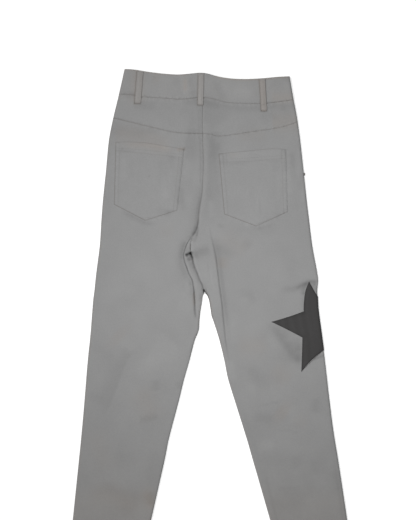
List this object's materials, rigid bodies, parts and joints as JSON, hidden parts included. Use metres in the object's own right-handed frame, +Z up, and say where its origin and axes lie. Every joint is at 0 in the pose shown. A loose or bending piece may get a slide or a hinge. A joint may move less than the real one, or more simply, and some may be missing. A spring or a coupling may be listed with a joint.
{
  "type": "pair of jeans",
  "caption": "High-waisted tapered five-pocket jeans laid flat, back side up, with a star patch wrapped round one thigh.",
  "frame": {"origin": "middle of the garment's box, on the surface it lies on", "axes": "+X from the wearer's left to their right, +Y from the hems towards the waist, +Z up from the ground, so that the back of the jeans faces +Z"},
  "size_m": [0.5968, 1.0498, 0.0105],
  "materials": {
    "grey_twill": "matte cotton twill, garment dyed grey, slightly faded",
    "star_twill": "matte charcoal twill",
    "dark_metal": "antiqued dark brass, satin",
    "zip_tape": "woven tape with a dark chain"
  },
  "bodies": {
    "root": {"back_panel_left": "grey_twill", "back_panel_right": "grey_twill", "front_panel_left": "grey_twill", "front_panel_right": "grey_twill", "yoke_left": "grey_twill", "yoke_right": "grey_twill", "waistband_back": "grey_twill", "waistband_front_left": "grey_twill", "waistband_front_right": "grey_twill", "back_pocket_left": "grey_twill", "back_pocket_right": "grey_twill", "pocket_facing_left": "grey_twill", "pocket_facing_right": "grey_twill", "belt_loop_back_left": "grey_twill", "belt_loop_back_centre": "grey_twill", "belt_loop_back_right": "grey_twill", "belt_loop_front_left": "grey_twill", "belt_loop_front_right": "grey_twill", "star_patch": "star_twill", "fly_zip": "zip_tape", "waist_button": "dark_metal", "rivet_upper_left": "dark_metal", "rivet_upper_right": "dark_metal", "rivet_lower_left": "dark_metal", "rivet_lower_right": "dark_metal"}
  },
  "joints": []
}
